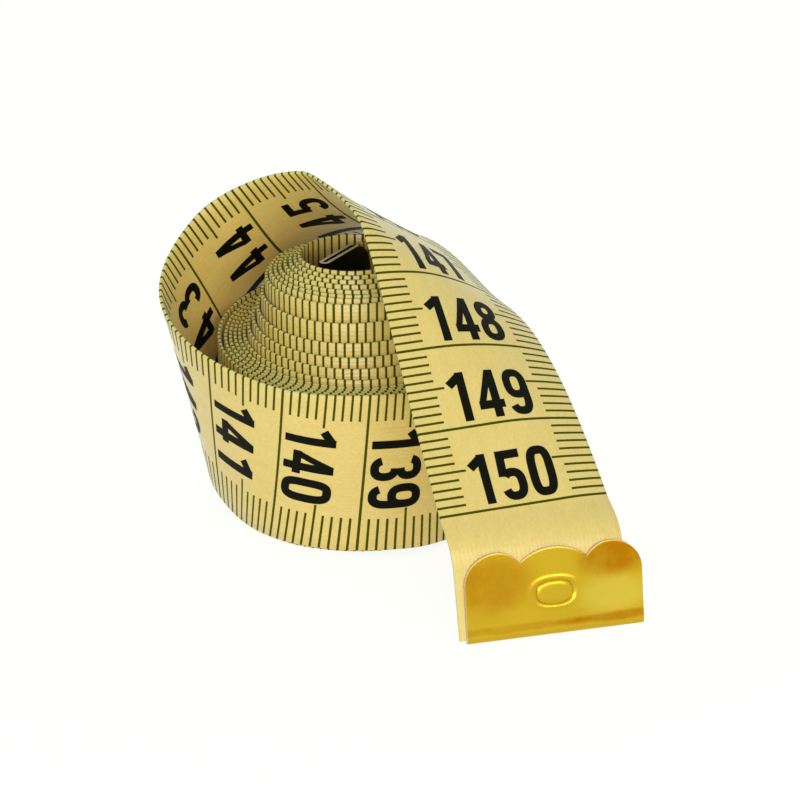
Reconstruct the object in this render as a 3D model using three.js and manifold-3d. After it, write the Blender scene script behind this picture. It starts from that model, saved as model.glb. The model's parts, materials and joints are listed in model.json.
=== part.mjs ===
// A tailor's tape measure of 150 cm, wound into a coil that stands on its edge with its core
// drawn up. The outer turn is loose: it leaves the coil, leans back, rises behind it, folds over
// obliquely and comes down at the front right, where a folded brass clip ends it on the table.
// Millimetres, +Z up. The coil's own axis is the working origin until the last lines, which put
// the middle of the underside of the whole model there instead.
import * as THREE from "three";
import { mergeVertices } from "three/addons/utils/BufferGeometryUtils.js";
import Module from "manifold-3d";

// The band
const tape_width = 20;
const tape_thick = 0.45;
const mark_step = 10; // from one printed centimetre line to the next
const join_gap = 0.3; // between pieces of the band that meet end to end
const band_columns = 6; // faces across the loose band
const row_step = 1.4; // along the loose band

// The coil: turns rise one above the other towards its core
const coil_inner_radius = 6.2;
const coil_outer_radius = 17.3;
const coil_turns = 12;
const coil_facets = 36; // to a turn
const core_rise = 11.5;
const core_lean = 0.5; // sideways, at the core
const rise_shares = [[0, 1], [0.4, 0.78], [0.45, 0.62], [0.5, 0.43], [0.55, 0.29],
  [0.6, 0.19], [0.65, 0.1], [0.71, 0], [1, 0]]; // share of the radius, share of the rise
const back_lift_share = 0.086; // the outer turns rise by this share of the way to the back
const lift_front = 15; // in front of the coil's middle the turns lie on the table
const lift_from_share = 0.25; // of the turns; further in they don't lean
const lift_full_share = 0.65;
const lift_settle = 120; // degrees of the last turn over which it comes down to the table

// The start of the band: a stiff clip across the hole, then a short bend onto the first turn
const chord_heading = 60; // degrees
const chord_offset = 0.8; // from the hole's middle
const chord_reach = 5.9; // from the middle of the chord to the clip's fold
const start_bend_radius = 1.9;
const start_bend_facets = 9;

// The loose turn leaves the coil slowly
const loop_start_radius = 18.73;
const loop_start_angle = 5.29; // degrees about the coil's axis
const loop_start_flare = 2.31; // degrees outwards from the turn
const loop_foot = 0.05; // the loose turn just clears the table
const leave_angle = 300; // degrees of the last turns over which it leaves
const leave_power = 2.1;

// The loose band is a strip that only bends. For each centimetre from line 136: how far it turns,
// in degrees, and the slant of the lines it bends about, as a share of the way across
const first_line = 136;
const stations = [[27, 0], [42, 0.15], [23, -0.1], [31, 0.6], [19, 0.25], [27, 0.3], [56, 0.35],
  [25, 0.4], [42, -0.25], [38, -0.05], [13, -0.85], [26, -0.7], [4.6, -1.7], [10, -2],
  [-12.6, -0.25], [111, 0], [18, -0.6]];
const soften_shares = [1 / 16, 2 / 16, 3 / 16, 4 / 16, 3 / 16, 2 / 16, 1 / 16];
const steps_per_mark = 10;

// Where the lower edge is held off its free place by the table, the coil or its core:
// centimetre line, reach in centimetres, then outwards and upwards as shares of the width
const nudge_shares = [[141, 3.1, 0, -0.18], [139.25, 1.8, 0.125, 0.055], [143.7, 1.5, 0.25, 0.06],
  [145.15, 1.9, 0.05, 0.21]];

// The end clip: one plate folded over the end of the band, with three lobes along each edge
const clip_width = 20.4;
const clip_side = 6.6; // height where the outer lobes start
const clip_height = 10;
const clip_plate = 0.35;
const clip_clearance = 0.3; // to the band between its leaves
const clip_lobe_top_share = 0.64; // of the half width
const clip_cusp_share = 0.38;
const clip_cusp_height = 8.55;
const clip_lobe_facets = 7;
const fold_facets = 8;
const dimple_width = 4.2;
const dimple_height = 2.7;
const dimple_depth = 0.2;
const dimple_place = 4.9; // above the fold
const overrun = 1; // of a cutting form past what it cuts

// Where the end clip stands
const clip_east = 21.8;
const clip_north = -36.9;
const clip_yaw = 14.5; // degrees
const clip_steepness = 77.1; // degrees
const clip_shift = 1.23; // of the clip towards the band's right edge
const clip_tuck = 1.85; // degrees by which the band stands askew in the clip
const clip_pinch_share = 0.975; // of the width, by a slight hollow between the leaves
const clip_foot = 0.1; // above the table
const last_line = 150;
const band_length_past_last_line = 14.6; // to the fold
// The band turns into the clip's plane between these shares of the clip's height over its fold
const ease_from_share = 1.46;
const ease_to_share = 0.78;

// The loose end lifts about a line of its own fold
const hinge_mark = 147;

const wasm = await Module();
wasm.setup();

const rad = THREE.MathUtils.degToRad;
const up = new THREE.Vector3(0, 0, 1);

// A closed body from rings of points, all with as many points; each ring goes out along one face
// of the strip and back along the other, so its ends are closed by pairs of facing points
function bodyFromRings(rings) {
  const n = rings[0].length;
  const points = rings.flat();
  const faces = [];
  for (let i = 0; i + 1 < rings.length; i++) {
    for (let j = 0; j < n; j++) {
      const a = i * n + j, b = i * n + (j + 1) % n;
      faces.push([a, b, b + n], [a, b + n, a + n]);
    }
  }
  const last = (rings.length - 1) * n;
  for (let j = 0; j < n / 2 - 1; j++) {
    const a = j, b = j + 1, c = n - 2 - j, d = n - 1 - j;
    faces.push([a, c, b], [a, d, c]);
    faces.push([last + a, last + b, last + c], [last + a, last + c, last + d]);
  }
  let volume = 0;
  for (const [a, b, c] of faces) volume += points[a].dot(points[b].clone().cross(points[c]));
  const geometry = new THREE.BufferGeometry();
  geometry.setAttribute("position", new THREE.Float32BufferAttribute(
    points.flatMap((p) => [p.x, p.y, p.z]), 3));
  geometry.setIndex(faces.flatMap(([a, b, c]) => (volume > 0 ? [a, b, c] : [a, c, b])));
  return geometry;
}

// Manifold solids, for the cuts of the clips
function solid(geometry) {
  const g = geometry.clone();
  g.deleteAttribute("normal");
  g.deleteAttribute("uv");
  const m = mergeVertices(g);
  return new wasm.Manifold(new wasm.Mesh({
    numProp: 3,
    vertProperties: new Float32Array(m.attributes.position.array),
    triVerts: new Uint32Array(m.index.array),
  }));
}

function geometryOf(manifold) {
  const m = manifold.getMesh();
  const geometry = new THREE.BufferGeometry();
  const places = new Float32Array(m.numVert * 3);
  for (let i = 0; i < m.numVert; i++) {
    for (let k = 0; k < 3; k++) places[i * 3 + k] = m.vertProperties[i * m.numProp + k];
  }
  geometry.setAttribute("position", new THREE.BufferAttribute(places, 3));
  geometry.setIndex(new THREE.BufferAttribute(new Uint32Array(m.triVerts), 1));
  return geometry;
}

function between(table, x) {
  for (let i = 1; i < table.length; i++) {
    if (x <= table[i][0]) {
      const [x0, y0] = table[i - 1], [x1, y1] = table[i];
      return y0 + (y1 - y0) * (x - x0) / (x1 - x0);
    }
  }
  return table[table.length - 1][1];
}

// The coil's middle line from the clip in the hole to the loose turn, as plan points with the
// sideways direction of each and the height of the band's lower edge there
const clip_slot = tape_thick + 2 * clip_clearance;
const clip_half_thick = clip_slot / 2 + clip_plate;
const chord = new THREE.Vector3(Math.cos(rad(chord_heading)), Math.sin(rad(chord_heading)), 0);
const chord_right = new THREE.Vector3(chord.y, -chord.x, 0);
const hole_middle = new THREE.Vector3(-core_lean, 0, 0);
const bend_across = start_bend_radius - chord_offset;
const bend_along = Math.sqrt((coil_inner_radius - start_bend_radius) ** 2 - bend_across ** 2);
const bend_middle = hole_middle.clone().addScaledVector(chord, bend_along)
  .addScaledVector(chord_right, bend_across);
const coil_first_angle = Math.atan2(bend_middle.y - hole_middle.y, bend_middle.x - hole_middle.x);
const clip_inside = clip_half_thick - clip_slot / 2 + clip_clearance;

function coilPath() {
  const path = [];
  const add = (p, right, low) => path.push({ p, right, low });
  const chordAt = (along) => hole_middle.clone().addScaledVector(chord, along)
    .addScaledVector(chord_right, -chord_offset);
  add(chordAt(clip_inside - chord_reach), chord_right, core_rise);
  const turned = rad(chord_heading) - (coil_first_angle - Math.PI / 2);
  for (let i = 0; i < start_bend_facets; i++) {
    const a = turned * i / start_bend_facets;
    const right = chord_right.clone().applyAxisAngle(up, -a);
    add(bend_middle.clone().addScaledVector(right, -start_bend_radius), right, core_rise);
  }
  const last_angle = rad(loop_start_angle);
  const sweep = coil_first_angle - last_angle + coil_turns * 2 * Math.PI;
  const count = Math.round(sweep / (2 * Math.PI) * coil_facets);
  for (let i = 0; i <= count; i++) {
    const share = i / count;
    const a = coil_first_angle - sweep * share;
    const leaving = Math.max(0, 1 - sweep * (1 - share) / rad(leave_angle));
    const r = coil_inner_radius + (coil_outer_radius - coil_inner_radius) * share
      + (loop_start_radius - coil_outer_radius) * leaving ** leave_power;
    const out = new THREE.Vector3(Math.cos(a), Math.sin(a), 0);
    const p = out.clone().multiplyScalar(r).addScaledVector(hole_middle, 1 - share);
    const lift = back_lift_share * Math.max(0, p.y + lift_front)
      * THREE.MathUtils.smoothstep(share, lift_from_share, lift_full_share)
      * THREE.MathUtils.smoothstep(sweep * (1 - share), 0, rad(lift_settle));
    add(p, out.clone().negate(), core_rise * between(rise_shares, share) + lift);
  }
  return path;
}

// Sideways directions square to the path itself
function squareOff(path) {
  for (let i = 1; i + 1 < path.length; i++) {
    const along = path[i + 1].p.clone().sub(path[i - 1].p).normalize();
    path[i].right = new THREE.Vector3(along.y, -along.x, 0);
  }
  return path;
}

function coilRings(path) {
  return path.map(({ p, right, low }) => {
    const side = right.clone().multiplyScalar(tape_thick / 2);
    const at = (sign, z) => p.clone().addScaledVector(side, sign).setZ(z);
    return [at(1, low), at(1, low + tape_width), at(-1, low + tape_width), at(-1, low)];
  });
}

// Least distance in plan of a path's points from its own other turns
function leastGap(path) {
  let least = Infinity;
  const apart = Math.round(coil_facets / 2);
  for (let i = 0; i < path.length; i++) {
    for (let j = i + apart; j + 1 < path.length; j++) {
      const a = path[j].p, b = path[j + 1].p, q = path[i].p;
      const ab = b.clone().sub(a);
      const k = THREE.MathUtils.clamp(q.clone().sub(a).dot(ab) / ab.lengthSq(), 0, 1);
      least = Math.min(least, q.distanceTo(a.clone().addScaledVector(ab, k)));
    }
  }
  return least - tape_thick;
}

// The loose band's middle line, direction and across direction at each step, from its stations
const step = mark_step / steps_per_mark;
function softened(column) {
  const count = (stations.length - 1) * steps_per_mark + 1;
  const raw = Array.from({ length: count }, (_, i) => {
    const k = Math.min(Math.floor(i / steps_per_mark), stations.length - 2);
    const f = i / steps_per_mark - k;
    return stations[k][column] * (1 - f) + stations[k + 1][column] * f;
  });
  const half = (soften_shares.length - 1) / 2;
  return raw.map((_, i) => soften_shares.reduce((sum, share, j) => {
    const at = THREE.MathUtils.clamp(i + j - half, 0, count - 1);
    return sum + share * raw[at];
  }, 0));
}

function loosePath() {
  const turns = softened(0).map((degrees) => rad(degrees) / steps_per_mark);
  const slants = softened(1);
  const start = rad(loop_start_angle);
  const heading = start - Math.PI / 2 + rad(loop_start_flare);
  const t = new THREE.Vector3(Math.cos(heading), Math.sin(heading), 0);
  const w = up.clone();
  const c = new THREE.Vector3(Math.cos(start), Math.sin(start), 0)
    .multiplyScalar(loop_start_radius).setZ(loop_foot + tape_width / 2);
  return turns.map((turn, i) => {
    const here = { c: c.clone(), t: t.clone(), w: w.clone(), slant: slants[i] };
    const spin = w.clone().addScaledVector(t, slants[i]);
    const angle = turn * spin.length();
    spin.normalize();
    t.applyAxisAngle(spin, -angle).normalize();
    w.applyAxisAngle(spin, -angle);
    w.addScaledVector(t, -w.dot(t)).normalize();
    c.addScaledVector(t, step);
    return here;
  });
}

const loose = loosePath();

function looseAt(run) {
  const x = THREE.MathUtils.clamp(run / step, 0, loose.length - 1);
  const i = Math.min(Math.floor(x), loose.length - 2), f = x - i;
  const a = loose[i], b = loose[i + 1];
  return {
    c: a.c.clone().lerp(b.c, f), t: a.t.clone().lerp(b.t, f), w: a.w.clone().lerp(b.w, f),
    slant: a.slant * (1 - f) + b.slant * f,
  };
}

// The end clip's frame: the middle of its fold's underside, across to the right, up the plate
const yaw = rad(clip_yaw), steep = rad(clip_steepness);
const clip_across = new THREE.Vector3(Math.cos(yaw), Math.sin(yaw), 0);
const clip_up = new THREE.Vector3(-Math.sin(yaw) * Math.cos(steep),
  Math.cos(yaw) * Math.cos(steep), Math.sin(steep));
const clip_origin = new THREE.Vector3(clip_east, clip_north,
  clip_foot + clip_half_thick * (1 - Math.sin(steep)));
const tucked = clip_across.clone().multiplyScalar(Math.cos(rad(clip_tuck)))
  .addScaledVector(clip_up, Math.sin(rad(clip_tuck)));
const tucked_up = clip_across.clone().cross(clip_up).cross(tucked);
const run_of_fold = (last_line - first_line) * mark_step + band_length_past_last_line;

// A point of the loose band's middle face: run along the band's ruling, v across it
function bandPoint(run, v) {
  const { c, t, w, slant } = looseAt(run);
  const point = c.addScaledVector(w, v).addScaledVector(t, v * slant);
  const printed = run + v * slant; // the place on the printed scale
  const low = ((tape_width / 2 - v) / tape_width) ** 2;
  const out = new THREE.Vector3(point.x, point.y, 0).normalize();
  for (const [mark, reach, outwards, upwards] of nudge_shares) {
    const off = (printed / mark_step + first_line - mark) / reach;
    const share = Math.max(0, 1 - off * off) ** 2 * low * tape_width;
    point.addScaledVector(out, outwards * share).addScaledVector(up, upwards * share);
  }
  const ease = THREE.MathUtils.smoothstep(printed, run_of_fold - clip_height * ease_from_share,
    run_of_fold - clip_height * ease_to_share);
  const flat = clip_origin.clone().addScaledVector(clip_across, -clip_shift)
    .addScaledVector(tucked, -clip_pinch_share * v)
    .addScaledVector(tucked_up, run_of_fold - printed);
  return point.lerp(flat, ease);
}

// The run whose ruling passes through a place of the printed scale, v across the band
function runAt(printed, v) {
  let low = printed - tape_width, high = printed + tape_width;
  for (let i = 0; i < 40; i++) {
    const mid = (low + high) / 2;
    if (mid + v * looseAt(mid).slant < printed) low = mid; else high = mid;
  }
  return (low + high) / 2;
}

const printedAt = (printed, v) => bandPoint(runAt(printed, v), v);

// Rings of the loose band between two ends, each a ruling or a square cut, by printed places
function bandRings(first, last) {
  const longest = Math.max(...[0, 1].map((k) => last(k * tape_width - tape_width / 2)))
    - first(0);
  const count = Math.ceil(longest / row_step);
  const vs = Array.from({ length: band_columns + 1 },
    (_, j) => tape_width * (j / band_columns - 1 / 2));
  const nudge = step / 2;
  const inset = tape_width / band_columns / 2;
  return Array.from({ length: count + 1 }, (_, i) => {
    const there = (v) => first(v) + (last(v) - first(v)) * i / count;
    const faces = vs.map((v) => {
      const place = there(v);
      const along = printedAt(place + nudge, v).sub(printedAt(place - nudge, v));
      const v0 = Math.max(v - inset, -tape_width / 2), v1 = Math.min(v + inset, tape_width / 2);
      const across = printedAt(there(v1), v1).sub(printedAt(there(v0), v0));
      const normal = along.cross(across).normalize().multiplyScalar(tape_thick / 2);
      const p = printedAt(place, v);
      return [p.clone().add(normal), p.clone().sub(normal)];
    });
    return [...faces.map((f) => f[0]), ...faces.map((f) => f[1]).reverse()];
  });
}

// A clip in its own place: x across, z up the plate, y through it, fold at the bottom
function clipBody() {
  const inner = clip_slot / 2, outer = clip_half_thick;
  const side = new THREE.Shape();
  side.moveTo(outer, clip_height + overrun);
  side.lineTo(outer, outer);
  side.absarc(0, outer, outer, 0, -Math.PI, true);
  side.lineTo(-outer, clip_height + overrun);
  side.lineTo(-inner, clip_height + overrun);
  side.lineTo(-inner, outer);
  side.absarc(0, outer, inner, Math.PI, 2 * Math.PI, false);
  side.lineTo(inner, clip_height + overrun);
  side.closePath();
  const folded = new THREE.ExtrudeGeometry(side, {
    depth: clip_width, bevelEnabled: false, curveSegments: fold_facets });
  folded.translate(0, 0, -clip_width / 2);
  folded.applyMatrix4(new THREE.Matrix4().makeBasis(
    new THREE.Vector3(0, 1, 0), new THREE.Vector3(0, 0, 1), new THREE.Vector3(1, 0, 0)));
  // the three lobes: the outer two start on the sides, the middle one between the cusps
  const half = clip_width / 2;
  const top = half * clip_lobe_top_share, cusp = half * clip_cusp_share;
  const drop = clip_height - clip_cusp_height;
  const lobe = (top - cusp) ** 2 / (2 * drop) + drop / 2;
  const crown = cusp ** 2 / (2 * drop) + drop / 2;
  const outline = [new THREE.Vector2(-half, -overrun)];
  for (let i = 0; i <= clip_lobe_facets; i++) {
    const a = Math.PI / 2 * i / clip_lobe_facets;
    outline.push(new THREE.Vector2(-top - (half - top) * Math.cos(a),
      clip_side + (clip_height - clip_side) * Math.sin(a)));
  }
  for (let i = 1; i <= clip_lobe_facets; i++) {
    const x = (top - cusp) * i / clip_lobe_facets;
    outline.push(new THREE.Vector2(-top + x, clip_height - lobe + Math.sqrt(lobe ** 2 - x ** 2)));
  }
  for (let i = 1; i < clip_lobe_facets; i++) {
    const x = -cusp + cusp * i / clip_lobe_facets;
    outline.push(new THREE.Vector2(x, clip_height - crown + Math.sqrt(crown ** 2 - x ** 2)));
  }
  outline.push(new THREE.Vector2(0, clip_height));
  const mirrored = outline.slice(0, -1).reverse().map((p) => new THREE.Vector2(-p.x, p.y));
  const lobes = new THREE.ExtrudeGeometry(new THREE.Shape([...outline, ...mirrored]), {
    depth: 2 * outer + 2 * overrun, bevelEnabled: false });
  lobes.translate(0, 0, -outer - overrun);
  lobes.rotateX(Math.PI / 2);
  // the pressed oval that grips the band, on the front leaf
  const deep = dimple_height;
  const oval = new THREE.SphereGeometry(1, 20, 12);
  const chordShare = Math.sqrt(1 - (1 - dimple_depth / deep) ** 2);
  oval.scale(dimple_width / 2 / chordShare, deep, dimple_height / 2 / chordShare);
  oval.translate(0, -outer - deep + dimple_depth, dimple_place);
  return solid(folded).intersect(solid(lobes)).subtract(solid(oval));
}

const clip = geometryOf(clipBody());

const cloth = { roughness: 0.55, metalness: 0 };
const brass = { color: 0xc9a227, roughness: 0.28, metalness: 1 };
function mesh(name, geometry, look) {
  const m = new THREE.Mesh(geometry, new THREE.MeshStandardMaterial(look));
  m.name = name;
  return m;
}

const path = squareOff(coilPath());
console.log(`tape_coil: least gap between turns ${leastGap(path).toFixed(3)} mm`);

const cut = join_gap / 2;
const hinge_run = (hinge_mark - first_line) * mark_step;
const onRuling = (run) => (v) => run + v * looseAt(run).slant;
const band_end = run_of_fold - clip_inside - tape_width / 2 * Math.sin(rad(clip_tuck));
const loop_rings = bandRings(onRuling(join_gap), onRuling(hinge_run - cut));
const tail_rings = bandRings(onRuling(hinge_run + cut), () => band_end);

// Least distance from the loose band's points to the coil, but for the turn it leaves from
function gapToCoil(rings) {
  let least = Infinity;
  const leaving = path.length - Math.round(coil_facets / 12);
  for (const q of rings.flat()) {
    for (let j = 0; j + 1 < leaving; j++) {
      const a = path[j].p, b = path[j + 1].p;
      const ab = b.clone().sub(a), aq = q.clone().setZ(0).sub(a);
      const k = THREE.MathUtils.clamp(aq.dot(ab) / ab.lengthSq(), 0, 1);
      const plan = Math.max(0, aq.distanceTo(ab.multiplyScalar(k)) - tape_thick / 2);
      const low = path[j].low, high = low + tape_width;
      const rise = Math.max(0, low - q.z, q.z - high);
      least = Math.min(least, Math.hypot(plan, rise));
    }
  }
  return least;
}
console.log(`tape_loop: least gap to the coil ${gapToCoil(loop_rings.slice(12)).toFixed(3)} mm`);
console.log(`tape_tail: least gap to the coil ${gapToCoil(tail_rings).toFixed(3)} mm`);

const tape_coil = mesh("tape_coil", bodyFromRings(coilRings(path)), { ...cloth, color: 0xd9c56a });
const tape_loop = mesh("tape_loop", bodyFromRings(loop_rings), { ...cloth, color: 0xe0cc72 });
const tape_tail = mesh("tape_tail", bodyFromRings(tail_rings), { ...cloth, color: 0xe3d283 });

const end_clip = mesh("end_clip", clip, brass);
end_clip.applyMatrix4(new THREE.Matrix4().makeBasis(clip_across,
  clip_up.clone().cross(clip_across), clip_up).setPosition(clip_origin));

const start_clip = mesh("start_clip", clip.clone(), brass);
start_clip.applyMatrix4(new THREE.Matrix4().makeBasis(up, chord.clone().cross(up), chord)
  .setPosition(hole_middle.clone().addScaledVector(chord, -chord_reach)
    .addScaledVector(chord_right, -chord_offset).setZ(core_rise + tape_width / 2)));

const model = new THREE.Group();
model.add(tape_coil, tape_loop, tape_tail, end_clip, start_clip);
model.updateMatrixWorld(true);
const box = new THREE.Box3().setFromObject(model, true);
const middle = box.getCenter(new THREE.Vector3());
model.position.set(-middle.x, -middle.y, -box.min.z);

// The line that the loose end lifts about, in the finished frame
const hinge_low = bandPoint(hinge_run, -tape_width / 2).add(model.position);
const hinge_high = bandPoint(hinge_run, tape_width / 2).add(model.position);
const show = (p) => p.toArray().map((x) => x.toFixed(3)).join(", ");
console.log(`fold line from ${show(hinge_low)} to ${show(hinge_high)}`);
console.log(`coil axis at ${show(model.position)}`);
const front = path.findIndex(({ p }, i) => i > path.length - coil_facets && p.x < 0 && p.y < 0);
const rest = path[front].p.clone().add(path[front - 1].p).multiplyScalar(1 / 2);
console.log(`front facet on the table at ${show(rest.add(model.position))}, z of its ends `
  + `${path[front - 1].low.toFixed(3)} and ${path[front].low.toFixed(3)}`);

const part = new THREE.Group();
part.add(model);
export default part;
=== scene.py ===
"""A yellow tailor's tape measure wound in a coil, its loose turn folded over to the front.

Laid out as an add-on and run as a script. Lengths inside the shape functions are millimetres;
they become metres when a mesh is made.
"""

import itertools
import json
import math

import bpy
import numpy as np
from bpy.props import FloatProperty, FloatVectorProperty, IntProperty, PointerProperty
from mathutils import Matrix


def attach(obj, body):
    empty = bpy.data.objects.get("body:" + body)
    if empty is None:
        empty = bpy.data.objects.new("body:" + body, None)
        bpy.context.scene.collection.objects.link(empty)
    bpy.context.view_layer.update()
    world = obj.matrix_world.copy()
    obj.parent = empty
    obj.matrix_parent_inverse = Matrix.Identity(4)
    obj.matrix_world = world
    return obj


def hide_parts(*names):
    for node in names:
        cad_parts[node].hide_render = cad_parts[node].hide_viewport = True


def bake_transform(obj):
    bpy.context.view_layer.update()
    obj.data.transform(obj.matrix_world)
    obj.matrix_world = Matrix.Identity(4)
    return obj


bl_info = {
    "name": "Tailor's tape measure",
    "version": (1, 0, 0),
    "blender": (4, 5, 0),
    "location": "3D View > Sidebar > Tape Measure",
    "description": "Makes the band, its numbers, the clips and the studio round the packed frame",
    "category": "Object",
}

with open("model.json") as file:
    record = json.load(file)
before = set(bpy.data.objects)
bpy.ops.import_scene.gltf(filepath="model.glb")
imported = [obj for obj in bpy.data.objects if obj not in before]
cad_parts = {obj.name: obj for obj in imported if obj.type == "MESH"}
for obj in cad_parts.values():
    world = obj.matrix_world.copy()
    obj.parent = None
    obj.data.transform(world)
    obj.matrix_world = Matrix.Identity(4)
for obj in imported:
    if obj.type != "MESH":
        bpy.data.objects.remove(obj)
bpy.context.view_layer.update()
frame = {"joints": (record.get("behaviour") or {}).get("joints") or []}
HINGE = frame["joints"][0]


def linear(hex_colour):
    """The linear colour, with alpha 1, of an sRGB colour written as hex."""
    parts = [int(hex_colour[i:i + 2], 16) / 255 for i in (1, 3, 5)]
    return [p / 12.92 if p <= 0.04045 else ((p + 0.055) / 1.055) ** 2.4 for p in parts] + [1.0]


def length(name, description, millimetres):
    """A length property with its default in millimetres."""
    return FloatProperty(name=name, description=description, default=millimetres / 1000,
                         min=0, unit="LENGTH", subtype="DISTANCE", precision=5)


def amount(name, description, default, unit="NONE"):
    """A property for a number that is never below 0."""
    return FloatProperty(name=name, description=description, default=default, min=0, unit=unit)


def colour(name, description, hex_colour):
    """A colour property with its default as an sRGB hex value."""
    return FloatVectorProperty(name=name, description=description, subtype="COLOR", size=4,
                               min=0, max=1, default=linear(hex_colour))


# Sizes and colours that a user would change

class TapeBandSettings(bpy.types.PropertyGroup):
    width: length("Width", "Width of the band", 20)
    thick: length("Thickness", "Thickness of the coated cloth", 0.36)
    inner_radius: length("Inner radius", "Radius of the innermost turn", 6.2)
    outer_radius: length("Outer radius", "Radius of the outermost wound turn", 17.3)
    turns: IntProperty(name="Turns", description="Wound turns of the coil", default=18, min=6)
    rise: length("Core rise", "How far the core is drawn up", 11.5)
    lean: length("Core lean", "How far the core leans sideways", 0.9)
    tilt: amount("Tilt", "Rise of the turns from front to back, as a share of the way", 0.086)
    cloth: colour("Cloth", "Yellow coating on the cloth", "#F0D37F")
    edge: colour("Cut edge", "Cut edge of the band", "#E9DD94")
    thread: length("Thread spacing", "Spacing of the cloth's threads", 0.5)


class TapePrintSettings(bpy.types.PropertyGroup):
    line: length("Centimetre line", "Width of a centimetre line", 0.31)
    tick: length("Millimetre line", "Width of a millimetre line", 0.28)
    digit_height: length("Digit height", "Height of a digit, along the band", 5.95)
    digit_width: length("Digit width", "Width of a digit, across the band", 3.05)
    digit_gap: length("Digit gap", "Gap between digits", 0.5)
    stroke: length("Stroke", "Width of a digit's stroke", 1.0)
    lines: colour("Line ink", "Olive ink of the lines", "#475008")
    digits: colour("Digit ink", "Black ink of the numbers", "#0D0F05")


class TapeClipSettings(bpy.types.PropertyGroup):
    width: length("Width", "Width of the end clip", 20.4)
    height: length("Height", "Height of the lobes above the fold", 10)
    side: length("Side height", "Height at which the outer lobes start", 6.6)
    plate: length("Plate", "Thickness of the plate", 0.4)
    plated: colour("Brass", "Brass plating", "#C9A829")
    amber: colour("Amber patches", "Amber patches on the brass", "#B47908")
    bright: colour("Lighter brass", "Brass in the lighter patch", "#D2BA40")
    # Painted shade: the start clip deep in the coil's hole is coloured nearly black for the shade
    # there
    dark: colour("Painted shade", "Shade painted on the clip inside the coil", "#17120A")
    cut: colour("Cut steel", "Bare steel at the cut edges", "#E6E2E8")


class TapeStageSettings(bpy.types.PropertyGroup):
    lens: amount("Focal length", "Camera's focal length in millimetres", 112.1625, "CAMERA")
    elevation: FloatProperty(name="Elevation", description="How far the camera looks down",
                             default=math.radians(23.606), unit="ROTATION", subtype="ANGLE")
    distance: length("Distance", "Camera to the point aimed at", 304.99)
    key: amount("Key light", "Power of the main lamp in watts", 3.0, "POWER")
    fill: amount("Fill light", "Power of the second lamp in watts", 1.3, "POWER")
    sky: amount("Surroundings", "Strength of the even light around", 0.56)
    key_colour: colour("Key colour", "Warm light of the main lamp", "#FFF6EC")
    fill_colour: colour("Fill colour", "Warm white of the second lamp", "#FFEBDA")
    shade: colour("Shade colour", "Slightly green light of the surroundings", "#EDFFE2")
    floor: colour("Floor", "Pale studio floor", "#F1F1EE")


# The band's shape

# Places on the printed scale, in millimetres
LOOSE = 1360.0  # the loose turn leaves the coil
SEAM = 1451.5  # the band is two pieces, one up to here and one that lifts
FOLD = 1470.0  # the line that the loose end lifts about
BLANK = 1500  # the last number, and no lines past it
TIP = 1514.6  # the end clip's fold
START, SHORT = 0.35, 0.75  # the cloth starts here, and ends this far short of the tip
# For each centimetre from 136: turn in degrees, and slant of the line it bends about
STATIONS = np.array([
    [27, 0], [42, 0.15], [23, -0.1], [31, 0.6], [19, 0.25], [27, 0.3], [56, 0.35], [25, 0.4],
    [42, -0.25], [38, -0.05], [13, -0.85], [26, -0.7], [4.6, -1.7], [10, -2], [-12.6, -0.25],
    [111, 0], [18, -0.6]])
SOFTEN = np.array([1, 2, 3, 4, 3, 2, 1]) / 16  # weights of a millimetre and its neighbours
# Where the table or the coil holds the lower edge off: line, reach, shares outwards and up
NUDGES = [(141, 3.1, 0, -0.18), (139.25, 1.8, 0.125, 0.04), (143.7, 1.5, 0.25, 0.06),
          (145.15, 1.9, 0.05, 0.21)]
# From the core outwards, shares of the turns and of the rise
RISE = np.array([[0, 1], [0.4, 0.78], [0.45, 0.62], [0.5, 0.43], [0.55, 0.29], [0.6, 0.19],
                 [0.65, 0.1], [0.71, 0], [1, 0]])
# Where the loose turn leaves the coil: radius, angle, turn outwards and height. The coil widens
# to that radius over its last degrees, by a power of the angle
LOOP_RADIUS, LOOP_ANGLE, LOOP_FLARE, LOOP_FOOT = 18.73, 5.29, 2.31, 0.05
LEAVE_ANGLE, LEAVE_POWER = 300, 2.1
# The band starts on a chord of the hole: its heading, its distance from the middle, the clip's
# reach back along it, the cloth's start inside that, and the radius of the bend at its end
CHORD_HEADING, CHORD_OFFSET, CHORD_REACH, CHORD_INSIDE, START_BEND = 60, 0.8, 5.9, 0.3, 1.9
# The turns tilt about a line this far in front of the middle: from one share of them, over
# another, and easing out over the last degrees
TILT_FRONT, TILT_FROM, TILT_GROWS, TILT_ENDS = 15, 0.25, 0.4, 120
# Unevenness of the turns: three and two waves a turn in radius, one in height
UNEVEN_THREE, UNEVEN_TWO, UNEVEN_HEIGHT = 0.05, 0.04, 0.07
# The end clip's frame: the middle of its fold's underside, across to the right and up
YAW, STEEP = math.radians(14.5), math.radians(77.1)
CLIP_SHIFT, PINCH, TUCK = 1.23, 0.975, math.radians(1.85)  # of the band between the leaves
FLATTEN = 0.68  # centimetres past the last line over which the band turns into the clip's plane
CLIP_CLEAR, CLIP_HALF_DEPTH = 0.1, 0.875  # off the table, and half the folded clip's depth
CLIP_FOOT = np.array([21.8, -36.9, CLIP_CLEAR + CLIP_HALF_DEPTH * (1 - math.sin(STEEP))])
CLIP_ACROSS = np.array([math.cos(YAW), math.sin(YAW), 0])
CLIP_UP = np.array([-math.sin(YAW) * math.cos(STEEP), math.cos(YAW) * math.cos(STEEP),
                    math.sin(STEEP)])


def ease(x):
    """0 below 0, 1 above 1, and three times the square less twice the cube between."""
    x = np.clip(x, 0, 1)
    return x * x * (3 - 2 * x)


def unit(vectors):
    """Each vector over its own length."""
    return vectors / np.linalg.norm(vectors, axis=-1, keepdims=True)


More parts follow.
